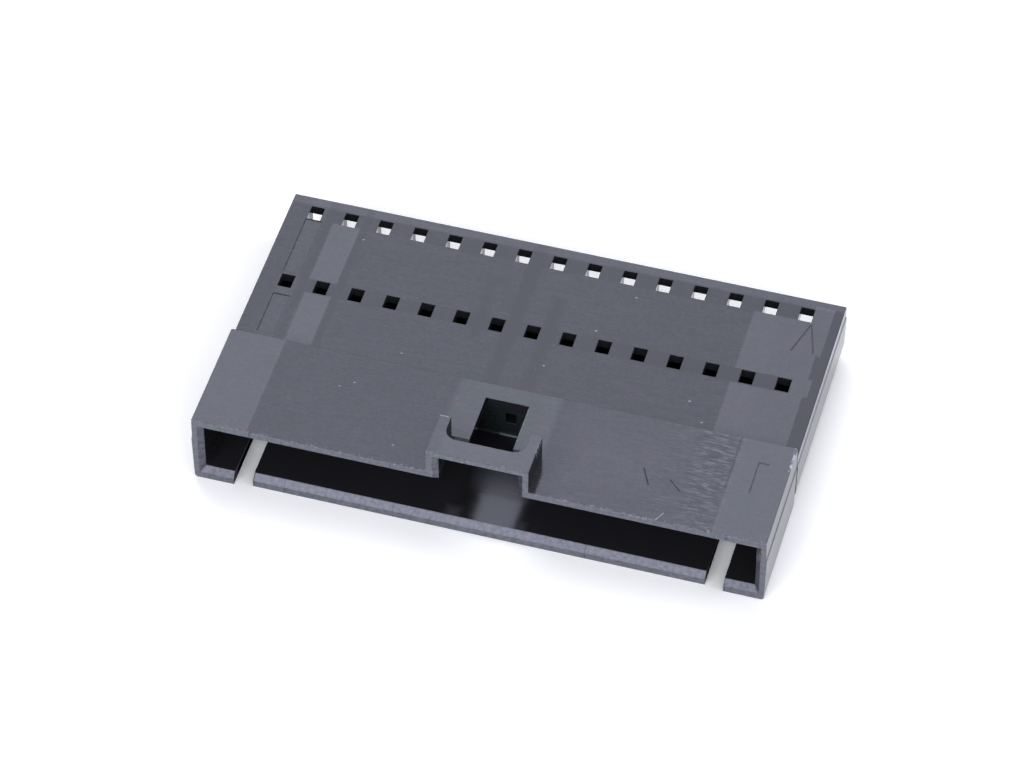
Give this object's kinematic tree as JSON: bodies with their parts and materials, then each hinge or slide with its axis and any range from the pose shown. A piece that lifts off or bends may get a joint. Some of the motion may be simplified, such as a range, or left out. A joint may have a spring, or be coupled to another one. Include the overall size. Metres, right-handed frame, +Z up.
{
  "type": "connector housing",
  "caption": "Flat crimp connector housing with a wide keyed socket, a raised latch bridge over its mouth, and rows of windows above its terminal cavities.",
  "frame": {"origin": "middle of the footprint, on the underside of the shroud", "axes": "+X along the row of terminals, +Y from the mouth of the socket towards the wire side, +Z up through the face with the windows"},
  "size_m": [0.0402, 0.0232, 0.0077],
  "materials": {
    "black_plastic": "moulded, fairly glossy, with faint machining marks from the mould and small handling marks"
  },
  "bodies": {
    "root": {"housing": "black_plastic"}
  },
  "joints": []
}
